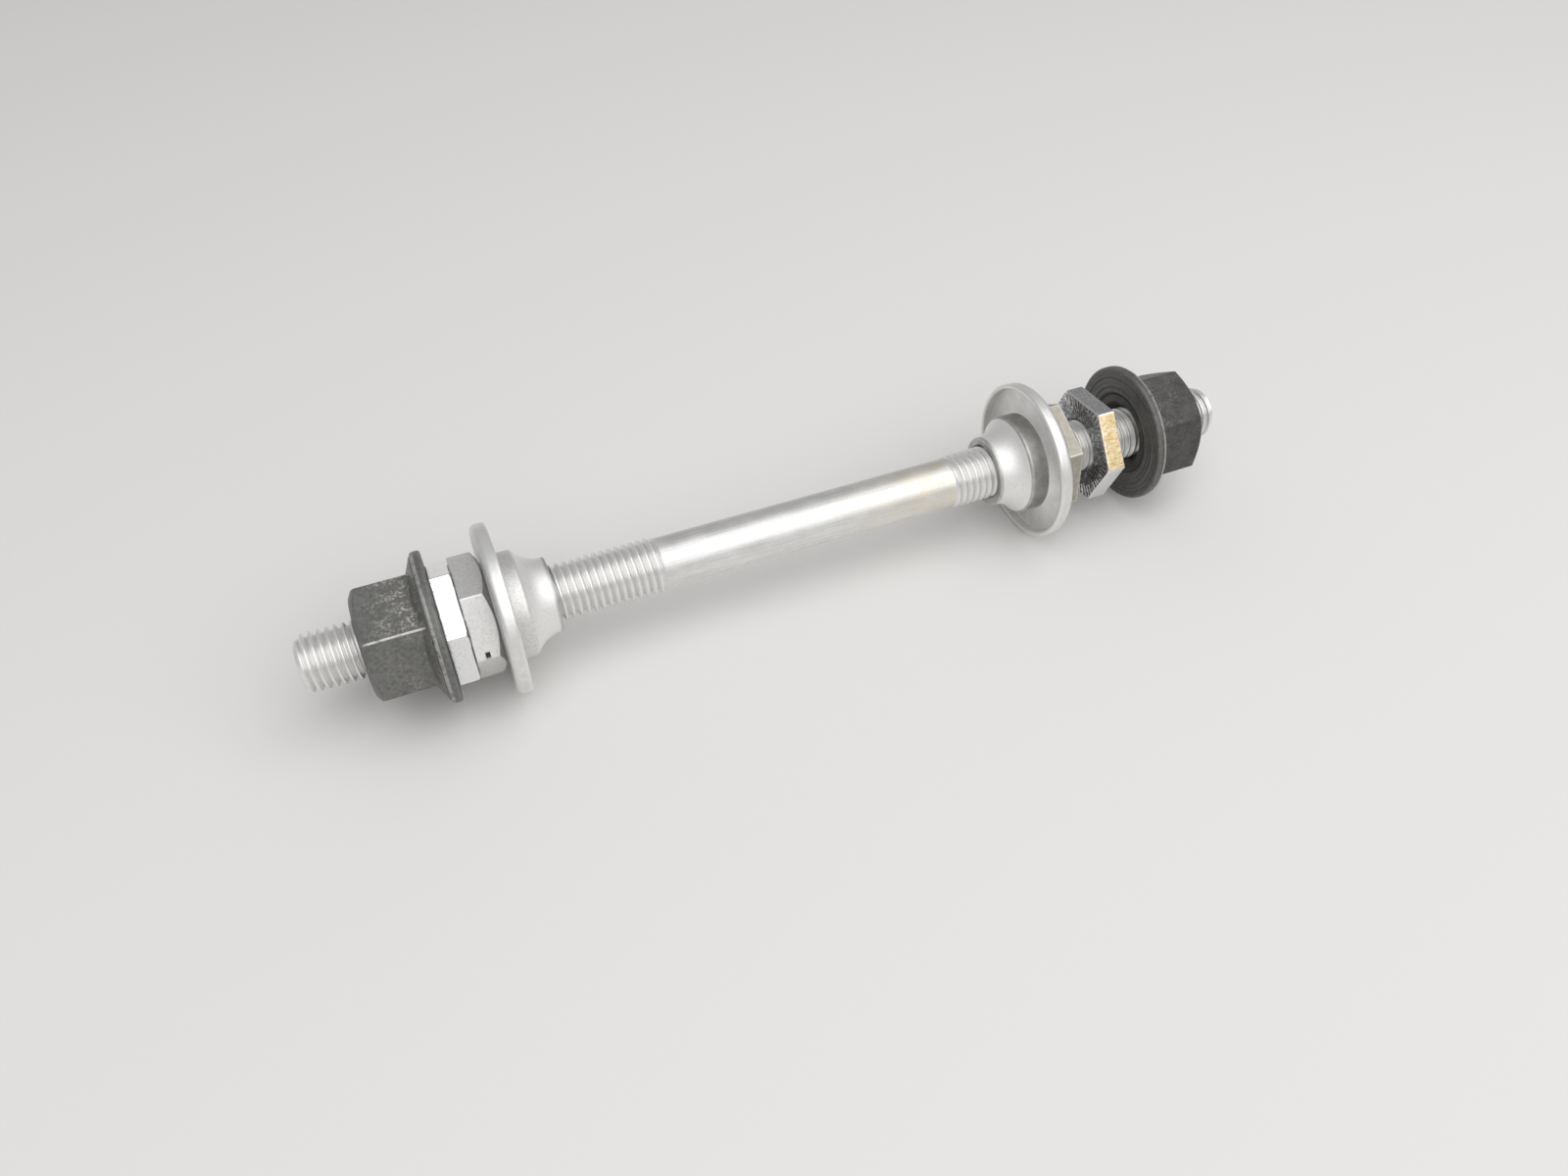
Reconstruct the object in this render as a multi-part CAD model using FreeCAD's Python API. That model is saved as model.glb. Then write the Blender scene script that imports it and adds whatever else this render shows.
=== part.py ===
"""Solid bicycle hub axle with its cones, dust caps, lock nuts and axle nuts.

The X axis runs along the axle, from its left end to its right end, and Z is up. The origin is the middle
of the axle. Sizes are in millimetres and angles in degrees. Each piece on the axle is drawn once, by its
distance outboard from its own inboard face, and is then placed at either end.
"""
import FreeCAD, Part
import math
import os

# Axle
AXLE_LENGTH = 140.0
THREAD_DIAMETER = 7.94
SHANK_DIAMETER = 7.3
LEFT_THREAD_LENGTH = 49.0
RIGHT_THREAD_LENGTH = 46.1
THREAD_END_CHAMFER = 0.9
THREAD_RUNOUT = 0.6

# Fits
THREAD_CLEARANCE = 0.05
SWIVEL_CLEARANCE = 0.05
SEAT_GAP = 0.05
PRESS_GAP = 0.01

# Cone
CONE_LENGTH = 12.3
CONE_SMALL_DIAMETER = 10.5
CONE_SMALL_LENGTH = 0.25
CONE_SMALL_EDGE = 0.15
RACE_RADIUS = 4.5
RING_DIAMETER = 14.9
RING_LENGTH = 3.65
RING_EDGE = 0.25
NECK_DIAMETER = 13.6
CONE_HEX_LENGTH = 3.8
CONE_HEX_ACROSS_FLATS = 15.0
CONE_HEX_FACE_DIAMETER = 14.6
CONE_BORE_COUNTERSINK = 0.25

# Dust cap
CAP_DIAMETER = 23.8
CAP_SHEET = 0.7
CAP_LIP_LENGTH = 2.15
CAP_DISH = 0.9
CAP_FLOOR_DIAMETER = 21.2
CAP_OUTER_BEND = 0.9
CAP_LIP_EDGE = 0.3

# Lock nut
LOCK_NUT_THICKNESS = 2.9
LOCK_NUT_ACROSS_FLATS = 15.0
LOCK_NUT_FACE_DIAMETER = 16.7
LOCK_NUT_COUNTERSINK = 0.4

# Axle nut and the washer that turns freely on its collar
NUT_ACROSS_FLATS = 15.0
NUT_LENGTH = 10.3
NUT_TOP_DIAMETER = 13.4
NUT_SKIRT_LENGTH = 1.35
NUT_SKIRT_TOP_DIAMETER = 14.6
NUT_SKIRT_DIAMETER = 19.9
NUT_SKIRT_RIM = 0.12
NUT_TOP_COUNTERSINK = 0.5
NUT_BOTTOM_COUNTERSINK = 1.1
COLLAR_DIAMETER = 11.6
COLLAR_LIP = 0.6
COLLAR_RECESS = 0.25
WASHER_DIAMETER = 21.0
WASHER_THICKNESS = 1.45
WASHER_EDGE = 0.45
WASHER_GROOVE_DIAMETERS = (14.6, 17.6)
WASHER_GROOVE_WIDTH = 0.5
WASHER_GROOVE_DEPTH = 0.15

# Chamfers on hexagons rise at this angle from the face
HEX_CHAMFER_ANGLE = 30.0

# Where the pieces stand along each end: gaps between them, from the axle's end inwards
LEFT_STUB = 8.05
LEFT_NUT_GAP = SEAT_GAP
LEFT_LOCK_GAP = SEAT_GAP
RIGHT_STUB = 5.15
RIGHT_NUT_GAP = 4.6
RIGHT_LOCK_GAP = 4.15

# Angle of one hexagon corner about the axle, from +Y towards +Z
LEFT_NUT_ANGLE = 12.7
LEFT_LOCK_NUT_ANGLE = 28.6
LEFT_CONE_ANGLE = 57.4
RIGHT_NUT_ANGLE = 22.0
RIGHT_LOCK_NUT_ANGLE = 51.2
RIGHT_CONE_ANGLE = 24.0

# Sizes that follow from those above
HEX_CORNERS = 6
THREAD_RADIUS = THREAD_DIAMETER / 2
BORE_RADIUS = THREAD_RADIUS + THREAD_CLEARANCE
AXIS = FreeCAD.Vector(1, 0, 0)
ORIGIN = FreeCAD.Vector(0, 0, 0)
FULL_TURN = 360.0


class Outline:
    """A closed half section, drawn with straight and round moves by (distance outboard, radius)."""

    def __init__(self, start):
        self.first = FreeCAD.Vector(start[0], start[1], 0)
        self.at = self.first
        self.edges = []

    def line(self, *points):
        for point in points:
            end = FreeCAD.Vector(point[0], point[1], 0)
            self.edges.append(Part.makeLine(self.at, end))
            self.at = end
        return self

    def arc(self, middle, end):
        middle = FreeCAD.Vector(middle[0], middle[1], 0)
        end = FreeCAD.Vector(end[0], end[1], 0)
        self.edges.append(Part.Arc(self.at, middle, end).toShape())
        self.at = end
        return self

    def corner(self, at, towards, radius):
        """Run to a corner and round it, ready to go on towards the next point."""
        corner = FreeCAD.Vector(at[0], at[1], 0)
        back = (self.at - corner).normalize()
        onward = (FreeCAD.Vector(towards[0], towards[1], 0) - corner).normalize()
        half = back.getAngle(onward) / 2
        inward = (back + onward).normalize()
        start = corner + back * (radius / math.tan(half))
        end = corner + onward * (radius / math.tan(half))
        middle = corner + inward * (radius / math.sin(half) - radius)
        self.line((start.x, start.y))
        return self.arc((middle.x, middle.y), (end.x, end.y))

    def turned(self):
        """The solid of revolution about the axle."""
        if self.at.distanceToPoint(self.first) > 0:
            self.edges.append(Part.makeLine(self.at, self.first))
        return Part.Face(Part.Wire(self.edges)).revolve(ORIGIN, AXIS, FULL_TURN)


def corner_radius(across_flats):
    """The radius of a hexagon's corners."""
    return across_flats / 2 / math.cos(math.pi / HEX_CORNERS)


def hexagon_bar(across_flats, start, length):
    """A hexagonal bar along the axle, with a corner on +Y."""
    radius = corner_radius(across_flats)
    corners = []
    for i in range(HEX_CORNERS + 1):
        turn = math.tau * i / HEX_CORNERS
        corners.append(FreeCAD.Vector(start, radius * math.cos(turn), radius * math.sin(turn)))
    return Part.Face(Part.makePolygon(corners)).extrude(AXIS * length)


def chamfer_rise(across_flats, face_diameter):
    """How far along the axle a hexagon's chamfer reaches, from its face to its corners."""
    return (corner_radius(across_flats) - face_diameter / 2) * math.tan(math.radians(HEX_CHAMFER_ANGLE))


def bore(start, end, start_countersink, end_countersink):
    """What a threaded bore with countersunk mouths takes out of a piece."""
    outline = Outline((start, 0)).line(
        (start, BORE_RADIUS + start_countersink),
        (start + start_countersink, BORE_RADIUS),
        (end - end_countersink, BORE_RADIUS),
        (end, BORE_RADIUS + end_countersink),
        (end, 0),
    )
    return outline.turned()


def make_axle():
    """A rod with threads rolled on both ends, which stand a little above the shank."""
    end = AXLE_LENGTH / 2
    small = THREAD_RADIUS - THREAD_END_CHAMFER
    shank = SHANK_DIAMETER / 2
    left_thread_end = -end + LEFT_THREAD_LENGTH
    right_thread_start = end - RIGHT_THREAD_LENGTH
    outline = Outline((-end, 0)).line(
        (-end, small),
        (-end + THREAD_END_CHAMFER, THREAD_RADIUS),
        (left_thread_end - THREAD_RUNOUT, THREAD_RADIUS),
        (left_thread_end, shank),
        (right_thread_start, shank),
        (right_thread_start + THREAD_RUNOUT, THREAD_RADIUS),
        (end - THREAD_END_CHAMFER, THREAD_RADIUS),
        (end, small),
        (end, 0),
    )
    return outline.turned()


def race_end():
    """Where the ball race meets the ring's broken edge, as a distance from the cone's small end."""
    rise = CONE_SMALL_DIAMETER / 2 + RACE_RADIUS - RING_DIAMETER / 2 + RING_EDGE
    return CONE_SMALL_LENGTH + math.sqrt(RACE_RADIUS**2 - rise**2)


def make_cone():
    """A ball race, a ring that carries the dust cap, a neck and a hexagon for the wrench."""
    small = CONE_SMALL_DIAMETER / 2
    ring = RING_DIAMETER / 2
    neck = NECK_DIAMETER / 2
    race_centre = small + RACE_RADIUS
    race_top = ring - RING_EDGE
    ring_start = race_end()
    ring_end = ring_start + RING_LENGTH
    hex_start = CONE_LENGTH - CONE_HEX_LENGTH
    half_sweep = math.atan2(ring_start - CONE_SMALL_LENGTH, race_centre - race_top) / 2
    race_middle = (
        CONE_SMALL_LENGTH + RACE_RADIUS * math.sin(half_sweep),
        race_centre - RACE_RADIUS * math.cos(half_sweep),
    )
    outline = Outline((0, 0)).line((0, small - CONE_SMALL_EDGE), (CONE_SMALL_EDGE, small))
    outline.line((CONE_SMALL_LENGTH, small)).arc(race_middle, (ring_start, race_top))
    outline.line((ring_start + RING_EDGE, ring))
    outline.corner((ring_end, ring), (ring_end, neck), RING_EDGE)
    outline.line((ring_end, neck), (CONE_LENGTH, neck), (CONE_LENGTH, 0))
    hexagon = hexagon_bar(CONE_HEX_ACROSS_FLATS, hex_start, CONE_HEX_LENGTH)
    face = CONE_HEX_FACE_DIAMETER / 2
    rise = chamfer_rise(CONE_HEX_ACROSS_FLATS, CONE_HEX_FACE_DIAMETER)
    widest = corner_radius(CONE_HEX_ACROSS_FLATS)
    envelope = Outline((hex_start, 0)).line(
        (hex_start, face),
        (hex_start + rise, widest),
        (CONE_LENGTH, widest),
        (CONE_LENGTH, 0),
    )
    body = outline.turned().fuse(hexagon.common(envelope.turned())).removeSplitter()
    return body.cut(bore(0, CONE_LENGTH, CONE_BORE_COUNTERSINK, CONE_BORE_COUNTERSINK))


def make_dust_cap():
    """A pressed sheet cap: a round dish that falls outboard from the ring, and a lip turned inboard."""
    hole = RING_DIAMETER / 2 + PRESS_GAP
    floor = CAP_FLOOR_DIAMETER / 2
    outer = CAP_DIAMETER / 2
    inner = outer - CAP_SHEET
    width = floor - hole
    inside_radius = (width**2 + CAP_DISH**2) / (2 * CAP_DISH)
    outside_radius = inside_radius + CAP_SHEET
    seat_outside = race_end() + RING_LENGTH
    centre = seat_outside - math.sqrt(outside_radius**2 - width**2)
    floor_inside = centre + inside_radius
    floor_outside = centre + outside_radius
    lip_start = floor_outside - CAP_LIP_LENGTH

    def dish_middle(radius):
        half_sweep = math.asin(width / radius) / 2
        return (centre + radius * math.cos(half_sweep), floor - radius * math.sin(half_sweep))

    outline = Outline((floor_inside - CAP_DISH, hole)).arc(dish_middle(inside_radius), (floor_inside, floor))
    outline.corner((floor_inside, inner), (lip_start, inner), CAP_OUTER_BEND - CAP_SHEET)
    outline.corner((lip_start, inner), (lip_start, outer), CAP_LIP_EDGE)
    outline.corner((lip_start, outer), (floor_outside, outer), CAP_LIP_EDGE)
    outline.corner((floor_outside, outer), (floor_outside, floor), CAP_OUTER_BEND)
    outline.line((floor_outside, floor)).arc(dish_middle(outside_radius), (seat_outside, hole))
    return outline.turned()


def make_lock_nut():
    """A thin hexagonal nut, its corners just broken on the inboard face."""
    face = LOCK_NUT_FACE_DIAMETER / 2
    rise = chamfer_rise(LOCK_NUT_ACROSS_FLATS, LOCK_NUT_FACE_DIAMETER)
    widest = corner_radius(LOCK_NUT_ACROSS_FLATS)
    envelope = Outline((0, 0)).line(
        (0, face),
        (rise, widest),
        (LOCK_NUT_THICKNESS, widest),
        (LOCK_NUT_THICKNESS, 0),
    )
    hexagon = hexagon_bar(LOCK_NUT_ACROSS_FLATS, 0, LOCK_NUT_THICKNESS)
    hole = bore(0, LOCK_NUT_THICKNESS, LOCK_NUT_COUNTERSINK, LOCK_NUT_COUNTERSINK)
    return hexagon.common(envelope.turned()).cut(hole)


def make_nut_washer():
    """A disc with a round edge, ringed on its inboard face, its hole countersunk for the nut's lip."""
    hole = COLLAR_DIAMETER / 2 + SWIVEL_CLEARANCE
    sink = COLLAR_RECESS + COLLAR_LIP
    outer = WASHER_DIAMETER / 2
    outline = Outline((sink, hole)).line((0, hole + sink))
    for diameter in WASHER_GROOVE_DIAMETERS:
        groove = diameter / 2
        outline.line(
            (0, groove - WASHER_GROOVE_WIDTH / 2),
            (WASHER_GROOVE_DEPTH, groove),
            (0, groove + WASHER_GROOVE_WIDTH / 2),
        )
    outline.corner((0, outer), (WASHER_THICKNESS, outer), WASHER_EDGE)
    outline.corner((WASHER_THICKNESS, outer), (WASHER_THICKNESS, hole), WASHER_EDGE)
    outline.line((WASHER_THICKNESS, hole))
    return outline.turned()


def make_axle_nut():
    """A tall hexagon on a conical skirt, with a collar swaged over into the washer's countersink."""
    collar = COLLAR_DIAMETER / 2
    lip_start = COLLAR_RECESS + COLLAR_LIP - SWIVEL_CLEARANCE * math.tan(math.pi / 8)
    lip = collar + lip_start - COLLAR_RECESS
    skirt = NUT_SKIRT_DIAMETER / 2
    skirt_top = NUT_SKIRT_TOP_DIAMETER / 2
    skirt_end = WASHER_THICKNESS + NUT_SKIRT_LENGTH
    hex_start = WASHER_THICKNESS + NUT_SKIRT_RIM
    base = Outline((COLLAR_RECESS, 0)).line(
        (COLLAR_RECESS, lip),
        (lip_start, collar),
        (WASHER_THICKNESS, collar),
        (WASHER_THICKNESS, skirt),
        (hex_start, skirt),
        (skirt_end, skirt_top),
        (skirt_end, 0),
    )
    top = NUT_TOP_DIAMETER / 2
    widest = corner_radius(NUT_ACROSS_FLATS)
    rise = chamfer_rise(NUT_ACROSS_FLATS, NUT_TOP_DIAMETER)
    envelope = Outline((hex_start, 0)).line(
        (hex_start, widest),
        (NUT_LENGTH - rise, widest),
        (NUT_LENGTH, top),
        (NUT_LENGTH, 0),
    )
    hexagon = hexagon_bar(NUT_ACROSS_FLATS, hex_start, NUT_LENGTH - hex_start)
    hole = bore(COLLAR_RECESS, NUT_LENGTH, NUT_BOTTOM_COUNTERSINK, NUT_TOP_COUNTERSINK)
    return base.turned().fuse(hexagon.common(envelope.turned())).removeSplitter().cut(hole)


def place(shape, side, inboard, angle=0):
    """Put a piece on its end of the axle, its inboard face this far from the middle, and turn it."""
    placed = shape.copy()
    if side == "left":
        placed.rotate(ORIGIN, FreeCAD.Vector(0, 0, 1), FULL_TURN / 2)
        placed.translate(AXIS * -inboard)
    else:
        placed.translate(AXIS * inboard)
    placed.rotate(ORIGIN, AXIS, angle)
    return placed


def end_pieces(side, stub, nut_gap, lock_gap, angles):
    """All pieces on one end, stacked inwards from the end of the axle."""
    nut_angle, lock_nut_angle, cone_angle = angles
    nut = AXLE_LENGTH / 2 - stub - NUT_LENGTH
    lock_nut = nut - nut_gap - LOCK_NUT_THICKNESS
    cone = lock_nut - lock_gap - CONE_LENGTH
    return {
        f"{side}_cone": place(make_cone(), side, cone, cone_angle),
        f"{side}_dust_cap": place(make_dust_cap(), side, cone),
        f"{side}_lock_nut": place(make_lock_nut(), side, lock_nut, lock_nut_angle),
        f"{side}_nut_washer": place(make_nut_washer(), side, nut),
        f"{side}_axle_nut": place(make_axle_nut(), side, nut, nut_angle),
    }


pieces = {"axle": make_axle()}
left_angles = (LEFT_NUT_ANGLE, LEFT_LOCK_NUT_ANGLE, LEFT_CONE_ANGLE)
right_angles = (RIGHT_NUT_ANGLE, RIGHT_LOCK_NUT_ANGLE, RIGHT_CONE_ANGLE)
pieces.update(end_pieces("left", LEFT_STUB, LEFT_NUT_GAP, LEFT_LOCK_GAP, left_angles))
pieces.update(end_pieces("right", RIGHT_STUB, RIGHT_NUT_GAP, RIGHT_LOCK_GAP, right_angles))

os.makedirs("parts", exist_ok=True)
for name, shape in pieces.items():
    shape.exportStep(f"parts/{name}.step")
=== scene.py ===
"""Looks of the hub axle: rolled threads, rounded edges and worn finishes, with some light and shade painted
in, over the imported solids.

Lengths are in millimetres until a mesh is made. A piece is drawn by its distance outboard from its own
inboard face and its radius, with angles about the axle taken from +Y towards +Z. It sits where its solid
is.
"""
import math

import bmesh
import bpy
import numpy as np
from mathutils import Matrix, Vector


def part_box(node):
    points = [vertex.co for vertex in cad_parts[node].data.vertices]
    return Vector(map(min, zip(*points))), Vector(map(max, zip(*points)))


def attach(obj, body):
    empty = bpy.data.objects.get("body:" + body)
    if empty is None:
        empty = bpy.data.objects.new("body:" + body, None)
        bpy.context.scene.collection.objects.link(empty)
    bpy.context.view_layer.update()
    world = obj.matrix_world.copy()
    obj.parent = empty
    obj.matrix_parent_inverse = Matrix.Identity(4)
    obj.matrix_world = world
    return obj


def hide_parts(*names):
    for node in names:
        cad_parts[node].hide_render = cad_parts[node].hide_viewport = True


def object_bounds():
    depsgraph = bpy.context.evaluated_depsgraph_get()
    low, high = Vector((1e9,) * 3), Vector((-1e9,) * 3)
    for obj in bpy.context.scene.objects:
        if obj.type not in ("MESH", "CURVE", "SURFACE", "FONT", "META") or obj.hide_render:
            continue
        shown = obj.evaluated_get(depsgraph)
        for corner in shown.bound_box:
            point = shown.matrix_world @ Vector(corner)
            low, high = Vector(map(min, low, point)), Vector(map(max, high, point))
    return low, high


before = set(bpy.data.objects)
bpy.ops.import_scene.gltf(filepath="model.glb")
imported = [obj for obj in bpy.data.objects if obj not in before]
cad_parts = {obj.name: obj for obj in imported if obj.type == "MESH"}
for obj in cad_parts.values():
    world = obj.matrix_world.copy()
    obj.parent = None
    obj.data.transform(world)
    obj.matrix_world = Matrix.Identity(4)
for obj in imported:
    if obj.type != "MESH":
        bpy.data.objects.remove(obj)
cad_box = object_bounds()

MM = 0.001
SIDES = ("left", "right")

# Fineness of the meshes
JOIN = 1e-5
SHARP = math.radians(42)
AXLE_SIDES, ROUND_SIDES = 80, 192
CORNER_STEPS, FLAT_STEPS, TOOTHED_FLAT_STEPS = 5, 24, 110
SHANK_RINGS, RACE_RINGS, DISH_RINGS, BEND_RINGS = 25, 14, 12, 5

# Rounded corners: the free share of a line towards a round or a plain corner, and a bend's part of it
FREE_BY_ROUND, FREE_BY_PLAIN, BEND_SHARE = 0.45, 0.95, 0.9
BEND_MARGIN = 0.25

# Axle; the thread's form is a place along the pitch and a height from root to crest
PITCH = 25.4 / 24
CREST, ROOT, SHANK = 3.97, 3.33, 3.65
LEFT_THREAD, RIGHT_THREAD, RUNOUT = 49.0, 46.1, 0.7
SPARE_TURNS = 3
THREAD_FORM = (
    (0.0, 1.0), (0.09, 1.0), (0.14, 0.93), (0.4, 0.1), (0.46, 0.0),
    (0.54, 0.0), (0.6, 0.1), (0.86, 0.93), (0.91, 1.0),
)
END_CHAMFER, END_RIM, END_SLOPE, END_HOLLOW = 0.9, 0.12, 0.35, 0.03
DIMPLE, DIMPLE_FLOOR, DIMPLE_MIDDLE, DIMPLE_DEPTH = 1.4, 0.9, 0.4, 0.1

# Bores and hexagons; each hexagon's turn is the angle of one corner in degrees
BORE = 4.02
CHAMFER = math.tan(math.radians(30))
HEX_INSIDE, HEX_EDGE = 7.5, 0.22
SIXTH, HALF_SIXTH = math.pi / 3, math.pi / 6
HEX_CENTRE = (HEX_INSIDE - HEX_EDGE) / math.cos(HALF_SIXTH)
HEX_ARC = math.atan2(HEX_EDGE / 2, HEX_CENTRE + HEX_EDGE * math.cos(HALF_SIXTH))
TURN = {
    "left_axle_nut": 12.7, "left_lock_nut": 28.6, "left_cone": 57.4,
    "right_axle_nut": 22.0, "right_lock_nut": 51.2, "right_cone": 24.0,
}
NEXT_CORNER, SECOND_CORNER = 60, 120
NUT_SINK_EDGE, FINE_EDGE = 0.06, 0.05

# Cones
CONE_LENGTH, CONE_SMALL, CONE_SMALL_LENGTH, CONE_SMALL_EDGE = 12.3, 5.25, 0.25, 0.15
RACE_ROUND, RACE_EDGE = 4.5, 0.25
RING, RING_LENGTH, RING_FRONT_EDGE, RING_BACK_EDGE = 7.45, 3.65, 0.5, 0.25
NECK, NECK_FILLET = 6.8, 0.12
CONE_SINK, CONE_SINK_EDGE = 0.25, 0.04
CONE_HEX, CONE_HEX_FACE = 3.8, 7.3
CONE_FACE_EDGE, CONE_CHAMFER_EDGE, CONE_BACK_EDGE = 0.1, 0.12, 0.14
# Painted highlight: the left cone's ring and hexagon are drawn pale like the race
CONE_PAINTED_HIGHLIGHT = {"left": 0.8, "right": 0.0}
CONE_STAIN = {"left": 0.0, "right": 0.9}

# Nick in the left cone's hexagon: its corner and span in degrees
NICK_CORNER, NICK_SPAN = 177.4, 5.5
NICK_ALONG, NICK_WIDTH, NICK_WALL, NICK_DEPTH = 10.7, 0.55, 0.05, 0.3

# Dust caps
CAP_OUTER, CAP_FLOOR, CAP_SHEET, CAP_DISH = 11.9, 10.6, 0.7, 0.9
CAP_LIP, CAP_LIP_EDGE, CAP_BEND, CAP_FIT = 2.15, 0.3, 0.9, 0.01

# Lock nuts and the teeth on them
LOCK_THICKNESS, LOCK_FACE, LOCK_SINK, LOCK_PLAIN_FACE = 2.9, 8.35, 0.4, 1.2
LOCK_RIM_INSET, LOCK_RIM_RISE, LOCK_IN_EDGE, LOCK_OUT_EDGE = 0.16, 0.12, 0.05, 0.12
TEETH, TOOTH_DEPTH, TOOTH_IN, TOOTH_OUT, TOOTH_RISE = 60, 0.18, 6.3, 8.1, 0.2
TOOTH_STEEPNESS, TOOTH_GAP, TOOTH_RIM, ON_FACE = 1.6, 0.3, 0.02, 1e-6
# How much darker one flat of the right lock nut is drawn
LOCK_DARKER_FLAT = 0.6

# Axle nuts and their washers
NUT_LENGTH, NUT_TOP, NUT_SINK, NUT_TOP_EDGE, NUT_CHAMFER_EDGE = 10.3, 6.7, 0.5, 0.15, 0.2
SKIRT, SKIRT_RIM, SKIRT_SLOPE = 9.95, 0.12, 2.154
SKIRT_UNDER_EDGE, SKIRT_RIM_EDGE, SKIRT_FILLET = 0.03, 0.08, 0.35
COLLAR, COLLAR_LIP, COLLAR_LIP_EDGE, COLLAR_RECESS, COLLAR_SINK = 5.8, 0.58, 0.1, 0.25, 1.1
SWIVEL_ROOM = 0.02
WASHER, WASHER_THICKNESS, WASHER_HOLE, WASHER_EDGE = 10.5, 1.45, 5.85, 0.45
WASHER_GROOVES = ((7.3, 0.15), (8.05, 0.06), (8.8, 0.15), (9.35, 0.05))
GROOVE_HALF = 0.25
NUT_BARE = {"left": 1.0, "right": 0.15}
# Painted light: the left nut and both washers drawn a paler grey
NUT_PAINTED_LIGHT = {"left": 0.8, "right": 0.0}
WASHER_PAINTED_LIGHT = {"left": 0.7, "right": 0.4}
PLAIN_EDGE_BARE, WORN_CORNER_COSINE = 0.15, 0.9
RUB_ALL_ROUND, RUB_ON_SKIRT, RUB_FADED = 0.25, 0.3, 0.6
RUB_FULL_TO, RUB_FADED_AT = 1.2, 3.6

# Studio and camera, in metres and degrees
FLOOR_REACH, FLOOR_COLOUR, FLOOR_ROUGHNESS = 3.0, (0.80, 0.79, 0.775, 1), 0.9
SKY_COLOUR = (0.42, 0.42, 0.425, 1)
KEY_AT, KEY_WIDTH, KEY_HEIGHT, KEY_RADIANCE = Vector((0.09, -0.26, 0.5)), 1.1, 0.85, 1.3
CAMERA_AT, CAMERA_DOWN, CAMERA_HEADING = (-0.0497, -0.1156, 0.1187), 46.39, -22.36
CAMERA_LENS, CAMERA_SENSOR, CAMERA_NEAR, CAMERA_FAR = 27.34, 36.0, 0.001, 20.0


def link(thing):
    """Put a new object into the scene."""
    bpy.context.scene.collection.objects.link(thing)


def make_piece(node, body, points, faces, marks):
    """A smooth mesh that stands for a solid: doubled points are joined and empty faces dropped."""
    name = node + "_look"
    _, first, index = np.unique(np.round(points / JOIN), axis=0, return_index=True, return_inverse=True)
    polygons = []
    for face in index.reshape(-1)[faces].tolist():
        kept = [v for i, v in enumerate(face) if v != face[i - 1]]
        if len(set(kept)) > 2:
            polygons.append(kept)
    mesh = bpy.data.meshes.new(name)
    mesh.from_pydata((points[first] * MM).tolist(), [], polygons)
    for label, values in marks.items():
        mark = mesh.attributes.new(label, "FLOAT", "POINT")
        mark.data.foreach_set("value", values[first].astype(np.float32))
    shape = bmesh.new()
    shape.from_mesh(mesh)
    bmesh.ops.recalc_face_normals(shape, faces=shape.faces)
    shape.to_mesh(mesh)
    shape.free()
    mesh.shade_smooth()
    mesh.set_sharp_from_angle(angle=SHARP)
    piece = bpy.data.objects.new(name, mesh)
    link(piece)
    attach(piece, body)
    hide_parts(node)
    return piece


def grid_faces(rows, columns, closed):
    """Faces of a grid of rings, joined round the axle and, if closed, from the last ring to the first."""
    j = np.arange(rows if closed else rows - 1)[:, None]
    k = np.arange(columns)[None, :]
    after, beside = (j + 1) % rows, (k + 1) % columns
    quads = (j * columns + k, j * columns + beside, after * columns + beside, after * columns + k)
    return np.stack(quads, -1).reshape(-1, 4)


def hexagon(angles, turn):
    """The radius of a hexagon with rounded corners at each angle, and how near a corner each angle is."""
    off = np.abs((angles - math.radians(turn) + HALF_SIXTH) % SIXTH - HALF_SIXTH)
    flat = HEX_INSIDE / np.cos(HALF_SIXTH - off)
    near = np.minimum(off, HEX_ARC)
    aside = HEX_CENTRE * np.sin(near)
    rounded = HEX_CENTRE * np.cos(near) + np.sqrt(np.maximum(HEX_EDGE**2 - aside**2, 0))
    return np.where(off < HEX_ARC, rounded, flat), np.clip(1 - (off - HEX_ARC) / HEX_ARC, 0, 1)


def hexagon_angles(turn, steps):
    """Angles that follow a hexagon's corners closely and its flats evenly."""
    edge = np.linspace(-HEX_ARC, HEX_ARC, CORNER_STEPS)
    flat = np.linspace(2 * HEX_ARC, SIXTH - 2 * HEX_ARC, steps)
    one = np.concatenate([edge, flat])
    return np.concatenate([math.radians(turn) + SIXTH * i + one for i in range(6)])


def on_flat(angles, turn):
    """One on the flat that begins at a corner's angle, and nothing on the others."""
    return ((angles - math.radians(turn)) % math.tau < SIXTH).astype(float)


def corner(along, radius, rounding=0.0, wear=0.0, zone=0.0, warm=0.0, hexed=False):
    """One corner of a section: its place, its rounding and its marks.

    Wear is how rubbed its edge is, and on the lock nuts' teeth it paints glints; each finish reads zone and
    warm in its own way, some as painted light and shade.
    On a hexed corner the edges between the flats are rubbed too.
    """
    return {
        "at": (along, radius),
        "rounding": rounding,
        "wear": wear,
        "zone": zone,
        "warm": warm,
        "hexed": hexed,
    }


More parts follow.
